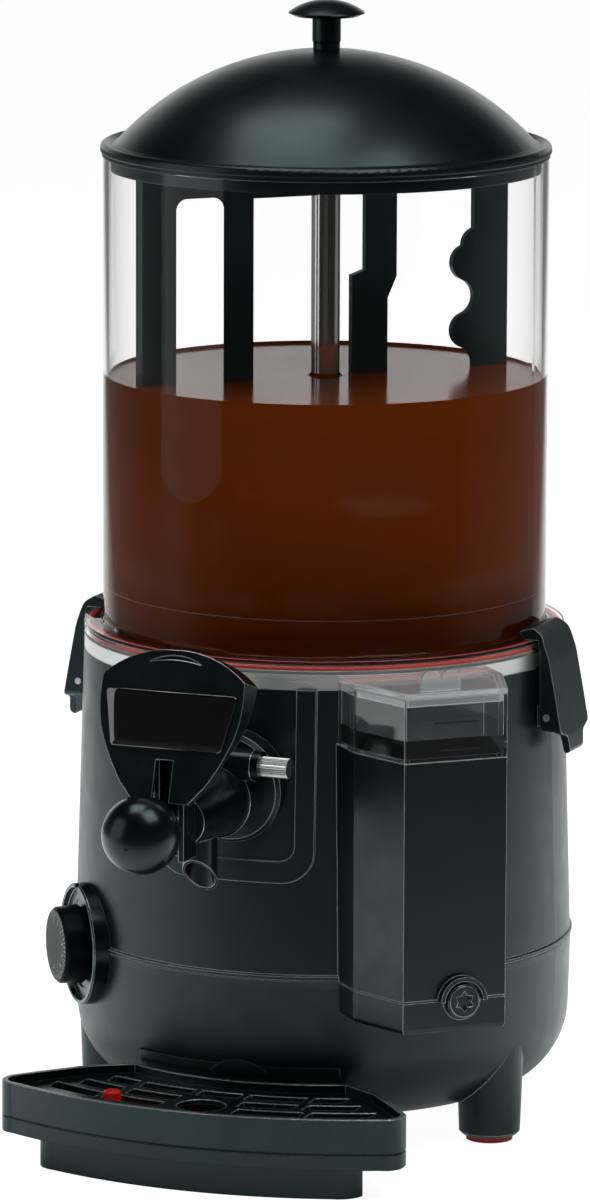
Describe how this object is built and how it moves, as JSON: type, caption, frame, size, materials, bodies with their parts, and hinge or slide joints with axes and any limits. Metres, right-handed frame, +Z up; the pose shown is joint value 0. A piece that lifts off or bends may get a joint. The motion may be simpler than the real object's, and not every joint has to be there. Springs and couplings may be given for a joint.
{
  "type": "hot chocolate dispenser machine",
  "caption": "Table-top hot chocolate dispenser with a clear stirred bowl over a heated pot, a lever tap, a water filler and a drip tray.",
  "frame": {"origin": "middle of the footprint, on the bench", "axes": "+Z up along the bowl, -Y towards the tap, +X to the right seen from the front"},
  "size_m": [0.2819, 0.4102, 0.58],
  "materials": {
    "black_abs": "satin black",
    "gloss_black": "polished black",
    "clear": "clear",
    "red_rubber": "matt red",
    "foot_rubber": "matt dark red",
    "stirrer_grey": "satin dark grey",
    "stainless": "brushed",
    "zinc_steel": "zinc plated",
    "bush_white": "plain white",
    "red_abs": "glossy red",
    "chrome": "polished",
    "seal_rubber": "black",
    "motor_steel": "dark grey",
    "terminal_white": "plain",
    "cutout_ceramic": "plain",
    "dial_black": "satin black with white ticks"
  },
  "bodies": {
    "machine": {"bowl": "clear", "bowl_gasket": "red_rubber", "centre_tube": "stainless", "heater_element": "stainless", "overheat_cutout": "cutout_ceramic", "motor_plate": "zinc_steel", "gear_motor": "motor_steel", "plate_screws": "zinc_steel", "lower_bush": "bush_white", "upper_bush": "bush_white", "upper_casing": "black_abs", "lower_casing": "black_abs", "foot_pads": "foot_rubber", "casing_screws": "zinc_steel", "outlet_pipe": "stainless", "chocolate_pot": "stainless", "water_jacket": "stainless", "reservoir_box": "clear", "drain_fitting": "black_abs", "drain_pipe": "black_abs", "jacket_pipe": "stainless", "latch_pin_left": "zinc_steel", "latch_pin_right": "zinc_steel", "tap_ring": "black_abs", "tap_socket": "black_abs", "tap_barrel": "black_abs", "lever_fork": "black_abs", "lever_pin": "stainless", "lever_spring": "stainless", "tap_cover": "black_abs", "nameplate": "gloss_black", "dial_bezel": "gloss_black", "thermostat_body": "cutout_ceramic", "switch_frame": "black_abs", "cord_gland": "black_abs", "gland_nut": "black_abs", "terminal_block": "terminal_white", "tray_bracket": "black_abs"},
    "stirrer_drive": {"stirrer": "stirrer_grey", "drive_shaft": "stainless"},
    "lid": {"lid": "black_abs", "lid_knob": "black_abs", "lid_knob_screw": "zinc_steel"},
    "lever": {"lever_arm": "black_abs", "lever_knob": "black_abs"},
    "valve": {"valve_piston": "bush_white", "piston_seals": "seal_rubber"},
    "dial": {"thermostat_dial": "dial_black", "thermostat_shaft": "zinc_steel"},
    "latch_left": {"latch_left": "black_abs"},
    "latch_right": {"latch_right": "black_abs"},
    "reservoir_lid": {"reservoir_lid": "clear"},
    "thumb_screw": {"thumb_screw": "chrome"},
    "drain_plug": {"drain_plug": "gloss_black"},
    "drip_tray": {"drip_tray": "black_abs"},
    "drip_grid": {"drip_grid": "black_abs"},
    "tray_float": {"tray_float": "red_abs"},
    "rocker": {"rocker_switch": "red_abs"}
  },
  "joints": [
    {"name": "stirrer_spin", "type": "hinge", "parent": "machine", "child": "stirrer_drive", "pos_m": [0, 0.058, 0.3], "axis": [0, 0, 1], "continuous": true},
    {"name": "lid_lift", "type": "slide", "parent": "machine", "child": "lid", "axis": [0, 0, 1], "range_m": [0, 0.12]},
    {"name": "lever_pull", "type": "hinge", "parent": "machine", "child": "lever", "pos_m": [0, -0.141, 0.24], "axis": [-1, 0, 0], "range_deg": [0, 16], "stiffness_Nm_per_rad": 0.6, "springref_deg": -14.32},
    {"name": "valve_stroke", "type": "slide", "parent": "machine", "child": "valve", "axis": [0, -0.9963, -0.0854], "range_m": [0, 0.0134]},
    {"name": "dial_turn", "type": "hinge", "parent": "machine", "child": "dial", "pos_m": [-0.10618, -0.03015, 0.0953], "axis": [0.7694, 0.6388, 0], "range_deg": [0, 270]},
    {"name": "latch_left_swing", "type": "hinge", "parent": "machine", "child": "latch_left", "pos_m": [-0.1301, 0.058, 0.2198], "axis": [0, -1, 0], "range_deg": [0, 25]},
    {"name": "latch_right_swing", "type": "hinge", "parent": "machine", "child": "latch_right", "pos_m": [0.1301, 0.058, 0.2198], "axis": [0, 1, 0], "range_deg": [0, 25]},
    {"name": "reservoir_lid_lift", "type": "slide", "parent": "machine", "child": "reservoir_lid", "axis": [0, 0, 1], "range_m": [0, 0.03]},
    {"name": "thumb_screw_turn", "type": "hinge", "parent": "machine", "child": "thumb_screw", "pos_m": [0.03, -0.092, 0.21101], "axis": [1, 0, 0], "range_deg": [0, 360]},
    {"name": "drain_plug_turn", "type": "hinge", "parent": "machine", "child": "drain_plug", "pos_m": [0.12676, -0.07265, 0.0958], "axis": [0.682, -0.7314, 0], "range_deg": [0, 360]},
    {"name": "tray_slide", "type": "slide", "parent": "machine", "child": "drip_tray", "axis": [0, -1, 0], "range_m": [0, 0.08]},
    {"name": "grid_lift", "type": "slide", "parent": "drip_tray", "child": "drip_grid", "axis": [0, 0, 1], "range_m": [0, 0.006]},
    {"name": "float_rise", "type": "slide", "parent": "drip_tray", "child": "tray_float", "axis": [0, 0, 1], "range_m": [0, 0.008]},
    {"name": "rocker_tilt", "type": "hinge", "parent": "machine", "child": "rocker", "pos_m": [0, 0.182, 0.16], "axis": [1, 0, 0], "range_deg": [0, 16]}
  ],
  "couplings": [
    {"joint": "valve_stroke", "follows": "lever_pull", "m_per_rad": 0.0476}
  ]
}
